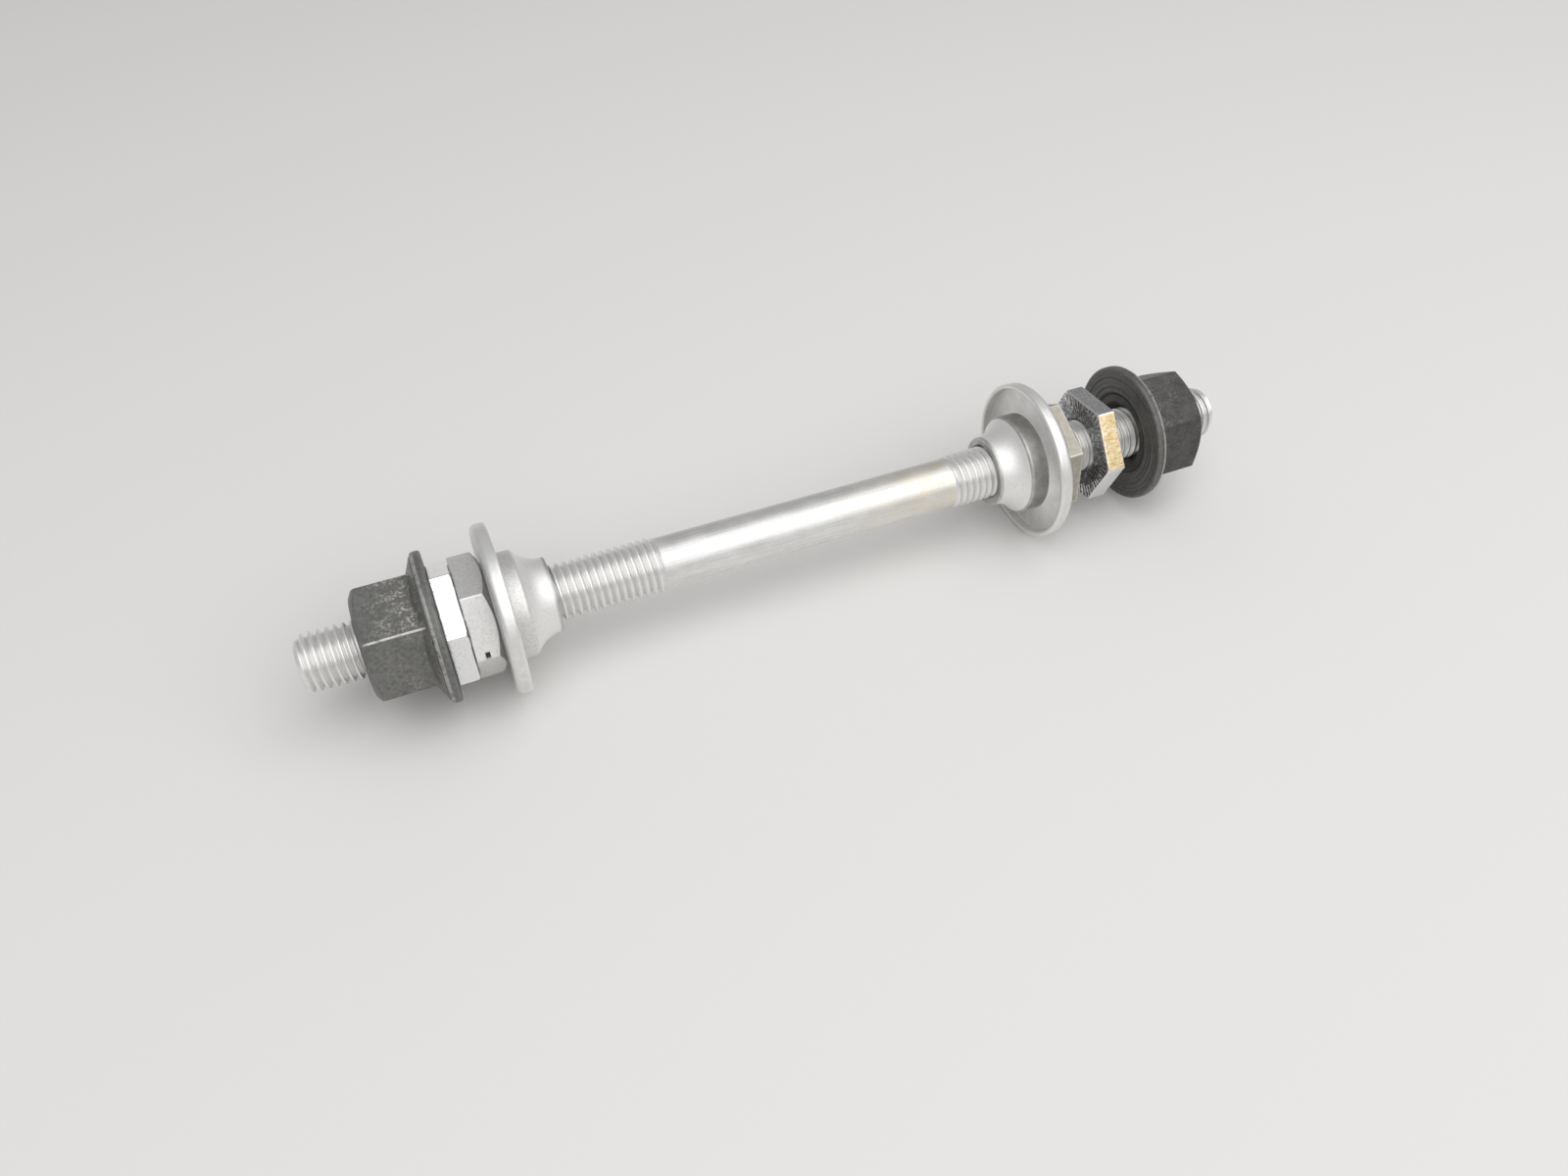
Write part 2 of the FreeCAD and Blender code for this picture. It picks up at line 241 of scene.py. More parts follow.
def rounded_rings(corners, edges):
    """Rings along a closed section with its corners rounded, and the marks of each ring."""
    count = len(edges)
    rings = []
    marks = {"wear": [], "zone": [], "warm": []}

    def spread(place):
        return np.stack([np.broadcast_to(value, count) for value in place], -1)

    def free(neighbour):
        return FREE_BY_ROUND if neighbour["rounding"] else FREE_BY_PLAIN

    def add(ring, wear, spot):
        rings.append(ring)
        for label, value in (("wear", wear), ("zone", spot["zone"]), ("warm", spot["warm"])):
            marks[label].append(np.broadcast_to(value, count))

    at = np.stack([spread(spot["at"]) for spot in corners]).astype(float)
    for j, spot in enumerate(corners):
        lines = edges if spot["hexed"] else 0.0
        worn = np.maximum(lines, spot["wear"])
        if spot["rounding"] == 0:
            add(at[j], worn, spot)
            continue
        before, after = j - 1, (j + 1) % len(corners)
        back, onward = at[before] - at[j], at[after] - at[j]
        far_back, far_on = np.linalg.norm(back, axis=1), np.linalg.norm(onward, axis=1)
        back, onward = back / far_back[:, None], onward / far_on[:, None]
        room_back, room_on = far_back * free(corners[before]), far_on * free(corners[after])
        half = np.arccos(np.clip((back * onward).sum(1), -1, 1)) / 2
        reach = np.minimum(spot["rounding"] / np.tan(half), BEND_SHARE * np.minimum(room_back, room_on))
        inward = (back + onward) / np.linalg.norm(back + onward, axis=1)[:, None]
        centre = at[j] + inward * (reach / np.cos(half))[:, None]
        start, end = at[j] + back * reach[:, None], at[j] + onward * reach[:, None]
        sweep = math.pi - 2 * half
        add(start + back * np.minimum(BEND_MARGIN, room_back - reach)[:, None], lines, spot)
        for t in np.linspace(0, 1, BEND_RINGS):
            a, b = np.sin((1 - t) * sweep) / np.sin(sweep), np.sin(t * sweep) / np.sin(sweep)
            add(centre + a[:, None] * (start - centre) + b[:, None] * (end - centre), worn, spot)
        add(end + onward * np.minimum(BEND_MARGIN, room_on - reach)[:, None], lines, spot)
    return np.stack(rings), {label: np.stack(values) for label, values in marks.items()}


def place(node, along, radius, angles):
    """Points on a piece from its own distances, on the side and at the place of its solid."""
    low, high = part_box(node)
    if node.startswith("left"):
        x = high.x / MM - along
    else:
        x = low.x / MM + along
    return np.stack([x, radius * np.cos(angles), radius * np.sin(angles)], -1)


def lathe(node, body, corners, angles, edges=None, start=0.0, carve=None):
    """A turned or hexagonal piece from its section; start is where its solid begins in the section."""
    rings, marks = rounded_rings(corners, np.zeros(len(angles)) if edges is None else edges)
    if carve is not None:
        rings = carve(rings)
    points = place(node, rings[..., 0] - start, rings[..., 1], angles[None, :]).reshape(-1, 3)
    faces = grid_faces(len(rings), len(angles), True)
    flat_marks = {label: values.reshape(-1) for label, values in marks.items()}
    return make_piece(node, body, points, faces, flat_marks)


def thread(start, end, shank_at_start):
    """One threaded end: rows of points follow the helix, fade into the shank and stop at a chamfer.

    Rows that pass an end are pressed onto it, where make_piece joins them. With the points and faces come
    each point's depth below the crest and how far the thread has risen from the shank.
    """
    form = np.array(THREAD_FORM)
    per_turn = len(form)
    rows = (int((end - start) / PITCH) + SPARE_TURNS) * per_turn
    row, column = np.arange(rows), np.arange(AXLE_SIDES)
    phase, height = form[row % per_turn, 0], form[row % per_turn, 1]
    angle = math.tau * column / AXLE_SIDES
    x = start - PITCH + (row // per_turn + phase)[:, None] * PITCH + PITCH * column[None, :] / AXLE_SIDES
    x = np.clip(x, start, end)
    from_shank, from_end = (x - start, end - x) if shank_at_start else (end - x, x - start)
    full = np.clip(from_shank / RUNOUT, 0, 1)
    full = full * full * (3 - 2 * full)
    cut = ROOT + (CREST - ROOT) * height[:, None]
    radius = np.minimum(SHANK + (cut - SHANK) * full, CREST - END_CHAMFER + from_end)
    points = np.stack([x, radius * np.cos(angle), radius * np.sin(angle)], -1).reshape(-1, 3)
    depth = (1 - height[:, None]) * full
    j, k = np.arange(rows - 1 - per_turn)[:, None], column[None, :]
    beside, step = (k + 1) % AXLE_SIDES, np.where(k + 1 == AXLE_SIDES, per_turn, 0)
    quads = (
        j * AXLE_SIDES + k,
        (j + step) * AXLE_SIDES + beside,
        (j + 1 + step) * AXLE_SIDES + beside,
        (j + 1) * AXLE_SIDES + k,
    )
    return points, np.stack(quads, -1).reshape(-1, 4), depth.reshape(-1), full.reshape(-1)


def make_axle():
    """The rod: two threads, the shank between them and two faced ends."""
    low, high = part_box("axle")
    left, right = low.x / MM, high.x / MM
    shank_left, shank_right = left + LEFT_THREAD, right - RIGHT_THREAD
    end = CREST - END_CHAMFER
    faced = (
        (0, end),
        (0, end - END_RIM),
        (END_HOLLOW, end - END_SLOPE),
        (END_HOLLOW, DIMPLE),
        (DIMPLE_DEPTH, DIMPLE_FLOOR),
        (DIMPLE_DEPTH, DIMPLE_MIDDLE),
        (DIMPLE_DEPTH, 0),
    )
    strips = (
        [(left + deep, radius) for deep, radius in faced],
        [(x, SHANK) for x in np.linspace(shank_left, shank_right, SHANK_RINGS)],
        [(right - deep, radius) for deep, radius in faced],
    )
    sets = [thread(left, shank_left, False), thread(shank_right, right, True)]
    angle = math.tau * np.arange(AXLE_SIDES) / AXLE_SIDES
    for strip in strips:
        x, radius = np.array(strip).T[..., None]
        rings = np.stack(np.broadcast_arrays(x, radius * np.cos(angle), radius * np.sin(angle)), -1)
        plain = np.zeros(len(strip) * AXLE_SIDES)
        sets.append((rings.reshape(-1, 3), grid_faces(len(strip), AXLE_SIDES, False), plain, plain))
    starts = np.cumsum([0] + [len(made[0]) for made in sets])
    faces = np.concatenate([made[1] + start for made, start in zip(sets, starts)])
    points, depth, rolled = (np.concatenate([made[i] for made in sets]) for i in (0, 2, 3))
    # The depth mark paints shade in the thread roots, and the rolled share paints the threads paler
    return make_piece("axle", "axle", points, faces, {"zone": depth, "warm": rolled})


def nick(angles, radius, painted_highlight):
    """Corners of a small dent beside a corner of the hexagon, its floor painted dark as shade."""
    off = math.radians(NICK_CORNER) - angles % math.tau
    dented = ((off > 0) & (off < math.radians(NICK_SPAN))).astype(float)
    half = NICK_WIDTH / 2
    corners = []
    for along, deep in ((-half - NICK_WALL, 0), (-half, dented), (half, dented), (half + NICK_WALL, 0)):
        inside = radius - NICK_DEPTH * deep
        corners.append(corner(NICK_ALONG + along, inside, zone=painted_highlight * (1 - deep), warm=deep, hexed=True))
    return corners


def make_cone(side):
    """A bearing cone: race, ring, neck and hexagon, with a nick in the left one."""
    node = side + "_cone"
    painted_highlight, warm_mark = CONE_PAINTED_HIGHLIGHT[side], CONE_STAIN[side]
    angles = hexagon_angles(TURN[node], FLAT_STEPS)
    radius, edges = hexagon(angles, TURN[node])
    centre = CONE_SMALL + RACE_ROUND
    sweep = math.acos((centre - RING + RACE_EDGE) / RACE_ROUND)
    ring_start = CONE_SMALL_LENGTH + RACE_ROUND * math.sin(sweep)
    ring_end = ring_start + RING_LENGTH
    hex_start = CONE_LENGTH - CONE_HEX
    chamfer_end = hex_start + (radius - CONE_HEX_FACE) * CHAMFER
    corners = [
        corner(0, BORE + CONE_SINK, CONE_SINK_EDGE),
        corner(0, CONE_SMALL, CONE_SMALL_EDGE, wear=0.5),
        corner(CONE_SMALL_LENGTH, CONE_SMALL, zone=0.3),
    ]
    for t in np.linspace(0, sweep, RACE_RINGS)[1:]:
        along, out = CONE_SMALL_LENGTH + RACE_ROUND * math.sin(t), centre - RACE_ROUND * math.cos(t)
        corners.append(corner(along, out, zone=1.0))
    corners += [
        corner(ring_start + RACE_EDGE, RING, RING_FRONT_EDGE, zone=painted_highlight),
        corner(ring_end, RING, RING_BACK_EDGE, zone=painted_highlight),
        corner(ring_end, NECK, NECK_FILLET),
        corner(hex_start, NECK, NECK_FILLET),
        corner(hex_start, CONE_HEX_FACE, CONE_FACE_EDGE, wear=0.2, zone=painted_highlight, warm=warm_mark),
        corner(chamfer_end, radius, CONE_CHAMFER_EDGE, wear=0.7, zone=painted_highlight, warm=warm_mark, hexed=True),
    ]
    if side == "left":
        corners += nick(angles, radius, painted_highlight)
    corners += [
        corner(CONE_LENGTH, radius, CONE_BACK_EDGE, wear=0.7, zone=painted_highlight, warm=warm_mark, hexed=True),
        corner(CONE_LENGTH, BORE + CONE_SINK, CONE_SINK_EDGE),
        corner(CONE_LENGTH - CONE_SINK, BORE),
        corner(CONE_SINK, BORE),
    ]
    return lathe(node, node, corners, angles, edges)


def make_dust_cap(side):
    """A pressed cap: a round dish and a lip."""
    node = side + "_dust_cap"
    hole, inner, bottom = RING + CAP_FIT, CAP_OUTER - CAP_SHEET, CAP_LIP - CAP_SHEET
    width = CAP_FLOOR - hole
    inside = (width**2 + CAP_DISH**2) / (2 * CAP_DISH)
    centre = bottom - inside

    def dish(curve):
        sweep = np.linspace(math.asin(width / curve), 0, DISH_RINGS)
        return [corner(centre + curve * math.cos(t), CAP_FLOOR - curve * math.sin(t)) for t in sweep]

    corners = dish(inside)
    corners[0]["wear"] = 0.9
    corners += [
        corner(bottom, inner, CAP_BEND - CAP_SHEET),
        corner(0, inner, CAP_LIP_EDGE, wear=0.5),
        corner(0, CAP_OUTER, CAP_LIP_EDGE, wear=0.8),
        corner(CAP_LIP, CAP_OUTER, CAP_BEND, wear=0.2),
    ]
    corners += reversed(dish(inside + CAP_SHEET))
    angles = math.tau * np.arange(ROUND_SIDES) / ROUND_SIDES
    return lathe(node, side + "_cone", corners, angles)


def make_lock_nut(side):
    """A thin nut with short radial teeth on its inboard face, which is painted dark as shade, with glints
    painted on the teeth; on the right one a reflection is painted on one flat and another flat is darker.
    """
    node = side + "_lock_nut"
    angles = hexagon_angles(TURN[node], TOOTHED_FLAT_STEPS)
    radius, edges = hexagon(angles, TURN[node])
    tinted = side == "right"
    # Painted reflection: a gold-coloured reflection on one flat of the right lock nut
    painted_golden_reflection = on_flat(angles, TURN[node] + NEXT_CORNER) * tinted
    darker = LOCK_DARKER_FLAT * on_flat(angles, TURN[node]) * tinted
    rim = np.minimum(radius - LOCK_RIM_INSET, LOCK_FACE)
    side_start = np.maximum((radius - LOCK_FACE) * CHAMFER, 0) + LOCK_RIM_RISE
    tooth = np.clip(np.cos(TEETH * angles) * TOOTH_STEEPNESS - TOOTH_GAP, 0, 1)
    # Painted shade: zone 1 draws the inboard face dark, and zone 0.5 the rim half as dark
    corners = [corner(0, BORE + LOCK_SINK, NUT_SINK_EDGE, zone=1.0)]
    # Painted glints: the teeth are marked as rubbed, so that they are drawn bright
    for out in (BORE + LOCK_PLAIN_FACE, TOOTH_IN - TOOTH_RISE, TOOTH_IN, TOOTH_IN + TOOTH_RISE, TOOTH_OUT):
        bright = tooth if out > TOOTH_IN else 0.0
        corners.append(corner(0, np.minimum(out, rim - TOOTH_RIM), wear=bright, zone=1.0))
    corners += [
        corner(0, rim, wear=0.5, zone=0.5),
        corner(side_start, radius, LOCK_IN_EDGE, wear=0.6, zone=darker, warm=painted_golden_reflection, hexed=True),
        corner(LOCK_THICKNESS, radius, LOCK_OUT_EDGE, wear=0.5, zone=darker, warm=painted_golden_reflection, hexed=True),
        corner(LOCK_THICKNESS, BORE + LOCK_SINK, NUT_SINK_EDGE),
        corner(LOCK_THICKNESS - LOCK_SINK, BORE),
        corner(LOCK_SINK, BORE),
    ]

    def press_teeth(rings):
        deep = np.clip((rings[..., 1] - TOOTH_IN) / TOOTH_RISE, 0, 1)
        pressed = rings.copy()
        pressed[..., 0] += np.where(rings[..., 0] < ON_FACE, TOOTH_DEPTH * tooth * deep, 0)
        return pressed

    return lathe(node, node, corners, angles, edges, carve=press_teeth)


def make_nut_washer(side):
    """The washer on a nut's collar, with turned rings on its inboard face."""
    node = side + "_nut_washer"
    sink = COLLAR_LIP + COLLAR_RECESS
    corners = [corner(sink, WASHER_HOLE, FINE_EDGE), corner(0, WASHER_HOLE + sink, FINE_EDGE)]
    for groove, deep in WASHER_GROOVES:
        for along, out in ((0, groove - GROOVE_HALF), (deep, groove), (0, groove + GROOVE_HALF)):
            corners.append(corner(along, out, FINE_EDGE))
    corners += [
        # The rubbed rims are partly wear and partly a painted highlight along the rim
        corner(0, WASHER, WASHER_EDGE, wear=0.35),
        corner(WASHER_THICKNESS, WASHER, WASHER_EDGE, wear=0.6),
        corner(WASHER_THICKNESS, WASHER_HOLE, FINE_EDGE),
    ]
    # Painted light: the washers drawn a paler grey all over
    for spot in corners:
        spot["warm"] = WASHER_PAINTED_LIGHT[side]
    angles = math.tau * np.arange(ROUND_SIDES) / ROUND_SIDES
    return lathe(node, node, corners, angles)


def make_axle_nut(side):
    """A tall hexagon that runs into its conical skirt, with the collar under it."""
    node = side + "_axle_nut"
    bare, painted_light = NUT_BARE[side], NUT_PAINTED_LIGHT[side]
    angles = hexagon_angles(TURN[node], FLAT_STEPS)
    radius, edges = hexagon(angles, TURN[node])
    worn_corner = np.cos(angles - math.radians(TURN[node] + SECOND_CORNER)) > WORN_CORNER_COSINE
    edges = edges * np.where(worn_corner, bare, PLAIN_EDGE_BARE)
    rubbed_flat = on_flat(angles, TURN[node] + NEXT_CORNER)
    rubbed = (RUB_ALL_ROUND + (1 - RUB_ALL_ROUND) * rubbed_flat) * bare
    underside = WASHER_THICKNESS + SWIVEL_ROOM
    skirt_start = WASHER_THICKNESS + SKIRT_RIM
    skirt_end = skirt_start + (SKIRT - radius) / SKIRT_SLOPE
    chamfer_start = NUT_LENGTH - (radius - NUT_TOP) * CHAMFER
    corners = [
        corner(COLLAR_RECESS, BORE + COLLAR_SINK, NUT_SINK_EDGE),
        corner(COLLAR_RECESS, COLLAR + COLLAR_LIP, COLLAR_LIP_EDGE),
        corner(COLLAR_RECESS + COLLAR_LIP, COLLAR, FINE_EDGE),
        corner(underside, COLLAR, FINE_EDGE),
        corner(underside, SKIRT, SKIRT_UNDER_EDGE),
        corner(skirt_start, SKIRT, SKIRT_RIM_EDGE, zone=RUB_ON_SKIRT, warm=painted_light),
        corner(skirt_end, radius, SKIRT_FILLET, zone=rubbed, warm=painted_light, hexed=True),
        corner(skirt_end + RUB_FULL_TO, radius, zone=rubbed, warm=painted_light, hexed=True),
        corner(skirt_end + RUB_FADED_AT, radius, zone=rubbed * RUB_FADED, warm=painted_light, hexed=True),
        corner(chamfer_start, radius, NUT_CHAMFER_EDGE, wear=0.1, warm=painted_light, hexed=True),
        corner(NUT_LENGTH, NUT_TOP, NUT_TOP_EDGE, wear=0.2, warm=painted_light),
        corner(NUT_LENGTH, BORE + NUT_SINK, NUT_SINK_EDGE),
        corner(NUT_LENGTH - NUT_SINK, BORE),
        corner(COLLAR_RECESS + COLLAR_SINK, BORE),
    ]
    return lathe(node, node, corners, angles, edges, start=COLLAR_RECESS)


class Finish:
    """A node material with the coordinates, marks and mixing that the finishes share."""

    def __init__(self, name):
        self.material = bpy.data.materials.new(name)
        self.material.use_nodes = True
        self.tree = self.material.node_tree
        self.surface = self.tree.nodes["Principled BSDF"]
        coordinates = self.add("TexCoord").outputs["Object"]
        scaled = self.add("VectorMath", {0: coordinates, "Scale": 1 / MM}, operation="SCALE")
        self.place = scaled.outputs["Vector"]
        parts = self.add("SeparateXYZ", {0: self.place}).outputs
        self.along = parts["X"]
        across = self.add("CombineXYZ", {"Y": parts["Y"], "Z": parts["Z"]}).outputs["Vector"]
        radius = self.add("VectorMath", {0: across}, operation="LENGTH").outputs["Value"]
        self.turned = self.add("CombineXYZ", {"X": self.along, "Y": radius}).outputs["Vector"]

    def feed(self, socket, value):
        """Link a node's output to a socket, or set a number, vector or colour on it."""
        if isinstance(value, bpy.types.NodeSocket):
            self.tree.links.new(value, socket)
        else:
            socket.default_value = value

    def add(self, kind, inputs=(), **settings):
        """A new node with its settings and inputs."""
        made = self.tree.nodes.new("ShaderNode" + kind)
        for key, value in settings.items():
            setattr(made, key, value)
        for key, value in dict(inputs).items():
            self.feed(made.inputs[key], value)
        return made

    def mark(self, name):
        """One of the marks that the mesh carries."""
        return self.add("Attribute", attribute_name=name).outputs["Fac"]

    def noise(self, scale, detail=3.0, where=None, stretch=None):
        """Noise with so many spots to a millimetre, drawn out along the axes that are stretched least."""
        where = self.place if where is None else where
        if stretch is not None:
            where = self.add("VectorMath", {0: where, 1: stretch}, operation="MULTIPLY").outputs["Vector"]
        inputs = {"Vector": where, "Scale": scale, "Detail": detail, "Roughness": 0.6}
        return self.add("TexNoise", inputs).outputs["Fac"]

    def ramp(self, value, span=(0.0, 1.0), to=(0.0, 1.0)):
        """A soft rise or fall from one value to another as the input crosses a span."""
        inputs = {"Value": value, "From Min": span[0], "From Max": span[1]}
        inputs.update({"To Min": to[0], "To Max": to[1]})
        return self.add("MapRange", inputs, interpolation_type="SMOOTHSTEP").outputs["Result"]

    def cloud(self, scale):
        """Broad soft blotches."""
        return self.ramp(self.noise(scale, 5.0), (0.35, 0.7))

    def times(self, a, b):
        return self.add("Math", {0: a, 1: b}, operation="MULTIPLY", use_clamp=True).outputs["Value"]

    def plus(self, a, b):
        return self.add("Math", {0: a, 1: b}, operation="ADD", use_clamp=True).outputs["Value"]

    def blend(self, share, a, b):
        """The first colour, with a share of the second."""
        made = self.add("Mix", data_type="RGBA")
        self.feed(made.inputs[0], share)
        for socket, colour in ((made.inputs[6], a), (made.inputs[7], b)):
            self.feed(socket, (*colour, 1.0) if isinstance(colour, tuple) else colour)
        return made.outputs[2]

    def bump(self, height, depth, strength, under=None):
        """Relief so many millimetres deep, over another relief if one is given."""
        inputs = {"Height": height, "Distance": depth * MM, "Strength": strength}
        if under is not None:
            inputs["Normal"] = under
        return self.add("Bump", inputs).outputs["Normal"]

    def done(self, colour, roughness, normal, metallic):
        """Feed the surface; a number that is the same all over is set on the socket itself."""
        for key, value in (
            ("Base Color", colour), ("Roughness", roughness), ("Normal", normal), ("Metallic", metallic),
        ):
            self.feed(self.surface.inputs[key], value)
        return self.material


def axle_zinc():
    """Bright zinc on a drawn rod: cloudy, a little yellowed to the right, with the threads painted paler as
    a highlight and their roots painted grey as shade.
    """
    pale, clean, streak = (0.8, 0.795, 0.78), (0.87, 0.865, 0.85), (0.5, 0.495, 0.48)
    yellow, fleck = (0.86, 0.77, 0.58), (0.55, 0.545, 0.53)
    crest, root = (0.92, 0.915, 0.9), (0.45, 0.44, 0.43)
    yellow_grows, yellow_stops = (2.0, 22.0), (23.5, 24.5)
    f = Finish("axle_zinc")
    depth, rolled = f.mark("zone"), f.mark("warm")
    cloud = f.cloud(0.35)
    speck = f.ramp(f.noise(5.0, 2.0), (0.42, 0.62))
    drawn = f.noise(1.0, 4.0, stretch=(0.1, 6.0, 6.0))
    yellowed = f.times(f.ramp(f.along, yellow_grows, (0.0, 0.6)), f.ramp(f.along, yellow_stops, (1.0, 0.0)))
    yellowed = f.times(yellowed, f.ramp(f.noise(0.5, 3.0), (0.35, 0.65)))
    colour = f.blend(cloud, pale, clean)
    colour = f.blend(f.ramp(drawn, (0.45, 0.7), (0.0, 0.45)), colour, streak)
    colour = f.blend(yellowed, colour, yellow)
    colour = f.blend(f.times(speck, 0.2), colour, fleck)
    # Painted light: the threads drawn paler as a highlight, and their roots grey as shade
    colour = f.blend(f.times(rolled, 0.5), colour, crest)
    colour = f.blend(f.ramp(depth, (0.5, 1.0), (0.0, 0.3)), colour, root)
    uneven = f.plus(f.times(cloud, 0.5), f.times(speck, 0.5))
    rough = f.times(f.ramp(uneven, to=(0.44, 0.54)), f.ramp(rolled, to=(1.0, 0.7)))
    normal = f.bump(f.noise(6.0, 2.0), 0.012, 0.5, f.bump(drawn, 0.006, 0.6))
    return f.done(colour, rough, normal, f.ramp(rolled, to=(1.0, 0.78)))


def cone_steel():
    """Turned steel, satin on the hexagon and ring and paler on the race, with stains and a nick painted
    near black as shade; the left cone's hexagon and ring are drawn paler as a painted highlight.
    """
    satin, pale, polish_and_painted_highlight = (0.42, 0.418, 0.405), (0.58, 0.578, 0.56), (0.9, 0.895, 0.88)
    brown, spot, grey = (0.38, 0.345, 0.265), (0.4, 0.385, 0.35), (0.5, 0.49, 0.46)
    rubbed, black = (0.85, 0.845, 0.83), (0.05, 0.049, 0.047)
    f = Finish("cone_steel")
    race, warm_mark = f.mark("zone"), f.mark("warm")
    cloud = f.cloud(0.6)
    tinted = f.times(warm_mark, f.ramp(f.noise(1.2, 4.0), (0.3, 0.6)))
    spotted = f.times(f.ramp(f.noise(4.0, 3.0), (0.55, 0.72)), 0.3)
    mottled = f.times(f.ramp(f.noise(2.8, 6.0), (0.46, 0.62)), f.ramp(race, (0.82, 1.0), (0.26, 0.05)))
    colour = f.blend(cloud, satin, pale)
    # Paler where the race is polished, and on the left cone's ring and hexagon as a painted highlight
    colour = f.blend(race, colour, polish_and_painted_highlight)
    colour = f.blend(tinted, colour, brown)
    colour = f.blend(spotted, colour, spot)
    colour = f.blend(mottled, colour, grey)
    colour = f.blend(f.times(f.mark("wear"), 0.5), colour, rubbed)
    # Painted shade: the nick's floor drawn near black
    colour = f.blend(f.ramp(warm_mark, (0.92, 1.0)), colour, black)
    rough = f.ramp(f.plus(f.times(race, 0.7), f.times(cloud, 0.3)), to=(0.46, 0.56))
    turning = f.noise(7.0, 3.0, where=f.turned)
    normal = f.bump(f.noise(5.0, 2.0), 0.012, 0.5, f.bump(turning, 0.01, 0.5))
    return f.done(colour, rough, normal, 1.0)


def cap_zinc():
    """Dull zinc on pressed sheet, brighter where the lip's edge is rubbed."""
    darker, pale = (0.75, 0.75, 0.735), (0.85, 0.845, 0.83)
    grey, bright = (0.52, 0.515, 0.5), (0.86, 0.855, 0.84)
    f = Finish("cap_zinc")
    rubbed = f.mark("wear")
    cloud = f.cloud(0.45)
    grain = f.noise(4.0, 3.0)
    colour = f.blend(cloud, darker, pale)
    colour = f.blend(f.times(f.ramp(grain, (0.5, 0.7)), 0.22), colour, grey)
    colour = f.blend(f.times(rubbed, 0.7), colour, bright)
    rough = f.ramp(f.plus(f.times(rubbed, 0.6), f.times(cloud, 0.4)), to=(0.46, 0.32))
    turning = f.noise(5.0, 2.0, where=f.turned)
    normal = f.bump(grain, 0.015, 0.5, f.bump(turning, 0.006, 0.4))
    return f.done(colour, rough, normal, 0.85)


def bright_zinc():
    """Bright plate on the lock nuts, scratched and speckled, with painted shade on the inboard faces, a
    painted reflection and a darker flat on the right one, and painted glints on the teeth.
    """
    plate, dark, grey = (0.88, 0.885, 0.89), (0.12, 0.123, 0.13), (0.5, 0.495, 0.48)
    brass, straw = (0.52, 0.37, 0.16), (0.74, 0.6, 0.35)
    glint, scrape, rubbed = (0.9, 0.895, 0.88), (0.86, 0.86, 0.86), (0.92, 0.915, 0.9)
    f = Finish("bright_zinc")
    painted_golden_reflection, darker = f.mark("warm"), f.mark("zone")
    fine = f.noise(1.0, 4.0, stretch=(0.8, 7.0, 7.0))
    speck = f.ramp(f.noise(4.5, 4.0), (0.54, 0.66))
    scratch = f.ramp(f.noise(1.0, 2.0, stretch=(9.0, 1.2, 0.9)), (0.6, 0.66))
    scuff = f.ramp(f.noise(1.0, 6.0, stretch=(3.4, 1.8, 1.8)), (0.53, 0.63))
    streak = f.ramp(f.noise(1.0, 4.0, stretch=(0.9, 3.5, 3.5)), (0.35, 0.65))
    worn = f.plus(f.times(speck, 0.7), f.times(scratch, 0.5))
    yellowed = f.times(painted_golden_reflection, f.ramp(f.noise(1.6, 5.0), (0.25, 0.6), (0.6, 1.0)))
    # Painted shade: the inboard faces drawn dark; one flat of the right nut is darker too
    colour = f.blend(f.times(darker, 0.92), plate, dark)
    colour = f.blend(f.times(worn, 0.5), colour, grey)
    # Painted reflection: a mottled gold-coloured reflection on one flat of the right nut
    colour = f.blend(yellowed, colour, f.blend(streak, brass, straw))
    colour = f.blend(f.times(f.times(speck, darker), 0.8), colour, glint)
    colour = f.blend(f.times(f.times(scuff, darker), 0.7), colour, scrape)
    # Rubbed edges, and glints painted on the teeth
    colour = f.blend(f.times(f.mark("wear"), 0.8), colour, rubbed)
    rough = f.ramp(f.plus(f.times(worn, 0.6), f.times(painted_golden_reflection, 0.4)), to=(0.14, 0.38))
    turning = f.noise(5.0, 3.0, where=f.turned)
    normal = f.bump(worn, 0.02, 0.4, f.bump(fine, 0.006, 0.5, f.bump(turning, 0.012, 0.5)))
    return f.done(colour, rough, normal, 1.0)


def black_oxide():
    """Worn black coating on forged nuts and their washers: grey specks, pale rubs and bare steel edges,
    with painted light that greys the washers and the left nut.
    """
    black, faded, speckle = (0.04, 0.038, 0.036), (0.075, 0.072, 0.067), (0.24, 0.23, 0.21)
    painted_light_grey, chalk, steel = (0.205, 0.207, 0.197), (0.6, 0.575, 0.52), (0.6, 0.59, 0.57)
    f = Finish("black_oxide")
    cloud = f.ramp(f.noise(0.5, 5.0), (0.3, 0.7))
    grain = f.noise(5.0, 4.0)
    speck = f.ramp(f.noise(3.2, 6.0), (0.5, 0.72))
    painted_light = f.times(f.mark("warm"), f.ramp(f.noise(2.0, 6.0), (0.3, 0.7), (0.5, 1.0)))
    patch = f.ramp(f.noise(0.7, 3.0), (0.42, 0.62))
    rub = f.times(f.times(f.mark("zone"), patch), f.ramp(f.noise(3.0, 9.0), (0.46, 0.6)))
    bare = f.times(f.ramp(f.mark("wear"), (0.2, 1.0)), f.ramp(f.noise(0.9, 4.0), (0.3, 0.55)))
    colour = f.blend(cloud, black, faded)
    colour = f.blend(f.times(speck, 0.5), colour, speckle)
    # Painted light: a paler mottled grey on the washers and the left nut
    colour = f.blend(painted_light, colour, painted_light_grey)
    colour = f.blend(f.times(rub, 0.85), colour, chalk)
    colour = f.blend(bare, colour, steel)
    rough = f.ramp(f.plus(f.times(speck, 0.5), f.times(cloud, 0.3)), (0.0, 0.8), (0.4, 0.6))
    turning = f.noise(4.0, 3.0, where=f.turned)
    normal = f.bump(grain, 0.03, 0.6, f.bump(turning, 0.01, 0.35))
    return f.done(colour, rough, normal, 0.3)


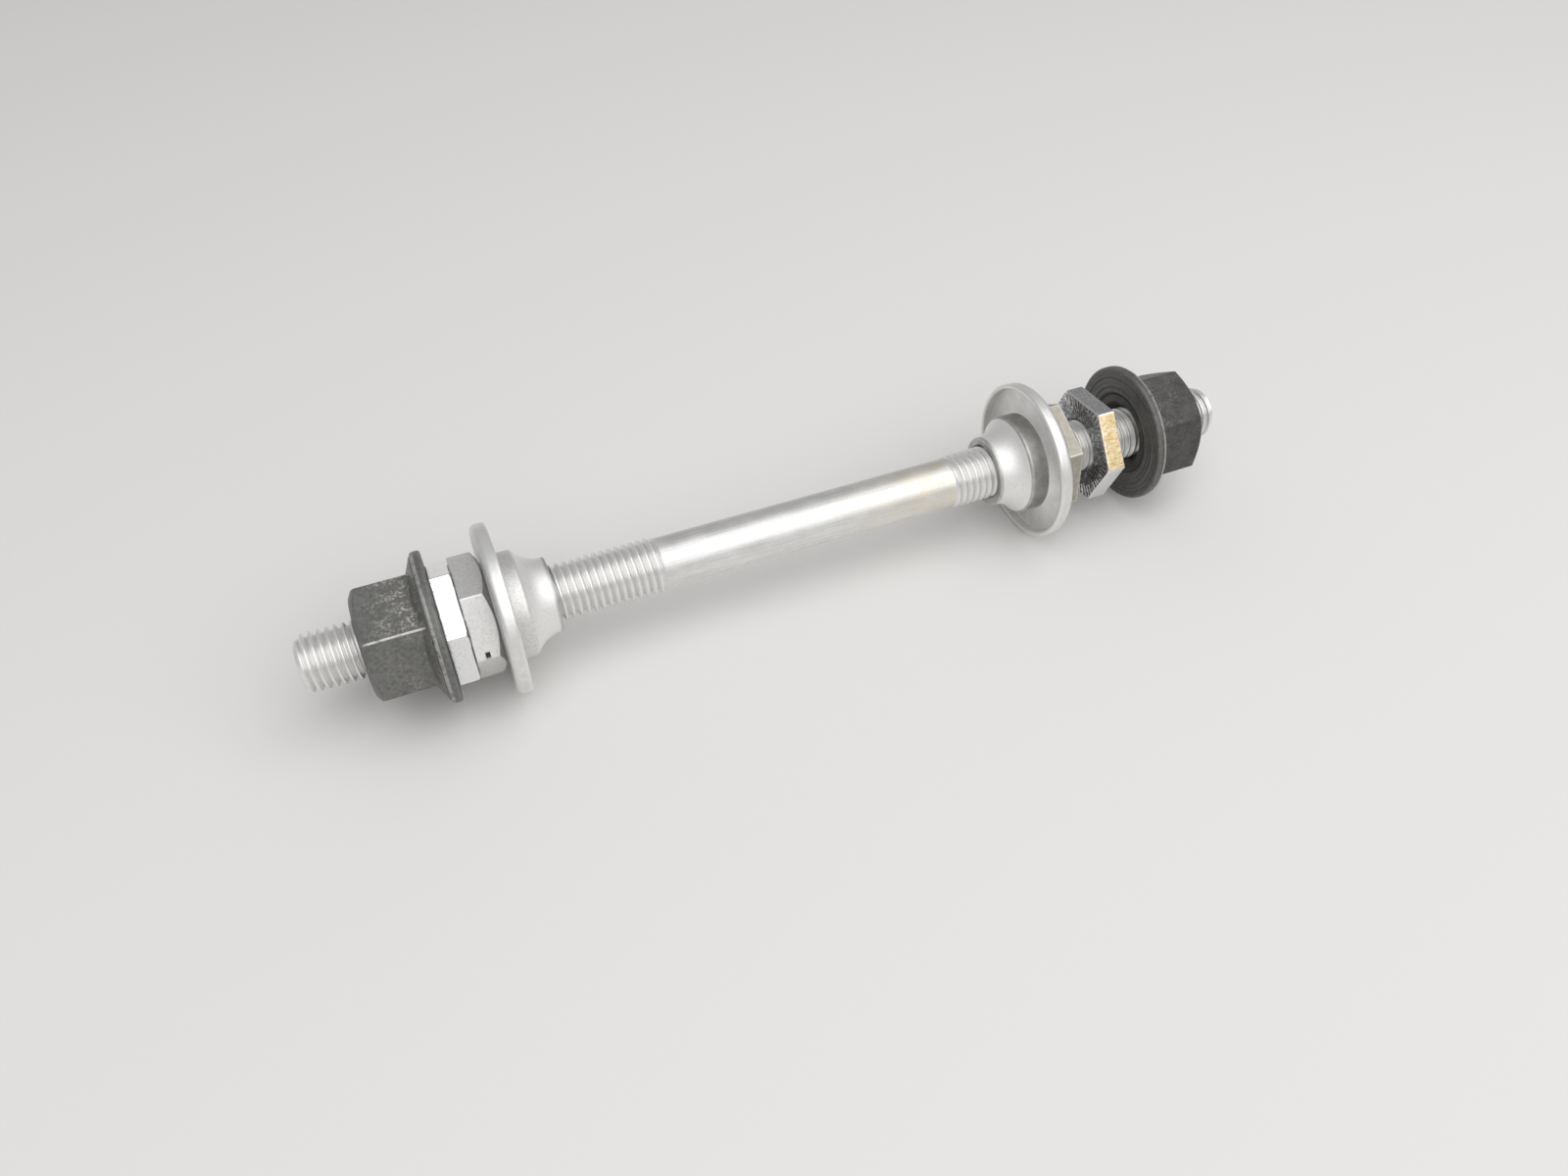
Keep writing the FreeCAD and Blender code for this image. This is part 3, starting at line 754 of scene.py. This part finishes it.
def make_floor(level):
    """A pale matt floor."""
    finish = bpy.data.materials.new("floor")
    finish.use_nodes = True
    surface = finish.node_tree.nodes["Principled BSDF"]
    surface.inputs["Base Color"].default_value = FLOOR_COLOUR
    surface.inputs["Roughness"].default_value = FLOOR_ROUGHNESS
    mesh = bpy.data.meshes.new("floor")
    ends = ((-1, -1), (1, -1), (1, 1), (-1, 1))
    mesh.from_pydata([(FLOOR_REACH * x, FLOOR_REACH * y, level) for x, y in ends], [], [(0, 1, 2, 3)])
    mesh.materials.append(finish)
    floor = bpy.data.objects.new("floor", mesh)
    link(floor)
    return floor


def light_studio():
    """An even grey surround and one soft box, whose face has the key's radiance, aimed at the axle."""
    world = bpy.data.worlds.new("studio")
    world.use_nodes = True
    world.node_tree.nodes["Background"].inputs["Color"].default_value = SKY_COLOUR
    bpy.context.scene.world = world
    lamp = bpy.data.lights.new("key", "AREA")
    lamp.shape = "RECTANGLE"
    lamp.size, lamp.size_y = KEY_WIDTH, KEY_HEIGHT
    lamp.energy = KEY_RADIANCE * math.pi * KEY_WIDTH * KEY_HEIGHT
    light = bpy.data.objects.new("key", lamp)
    light.location = KEY_AT
    light.rotation_euler = (-KEY_AT).to_track_quat("-Z", "Y").to_euler()
    link(light)


def place_camera():
    """The camera, where the photograph was taken from."""
    lens = bpy.data.cameras.new("camera")
    lens.lens = CAMERA_LENS
    lens.sensor_width = CAMERA_SENSOR
    lens.sensor_fit = "HORIZONTAL"
    lens.clip_start = CAMERA_NEAR
    lens.clip_end = CAMERA_FAR
    camera = bpy.data.objects.new("camera", lens)
    camera.location = CAMERA_AT
    camera.rotation_euler = (math.radians(90 - CAMERA_DOWN), 0, math.radians(CAMERA_HEADING))
    link(camera)
    bpy.context.scene.camera = camera


pieces = [("axle_zinc", make_axle())]
for side in SIDES:
    pieces += [
        ("cone_steel", make_cone(side)),
        ("cap_zinc", make_dust_cap(side)),
        ("bright_zinc", make_lock_nut(side)),
        ("black_oxide", make_nut_washer(side)),
        ("black_oxide", make_axle_nut(side)),
    ]
finishes = {
    "axle_zinc": axle_zinc(),
    "cone_steel": cone_steel(),
    "cap_zinc": cap_zinc(),
    "bright_zinc": bright_zinc(),
    "black_oxide": black_oxide(),
}
for slot, piece in pieces:
    piece.data.materials.append(finishes[slot])

# The floor touches the dust caps
floor = make_floor(cad_box[0].z)
light_studio()
place_camera()
bpy.context.scene.view_settings.view_transform = "Standard"
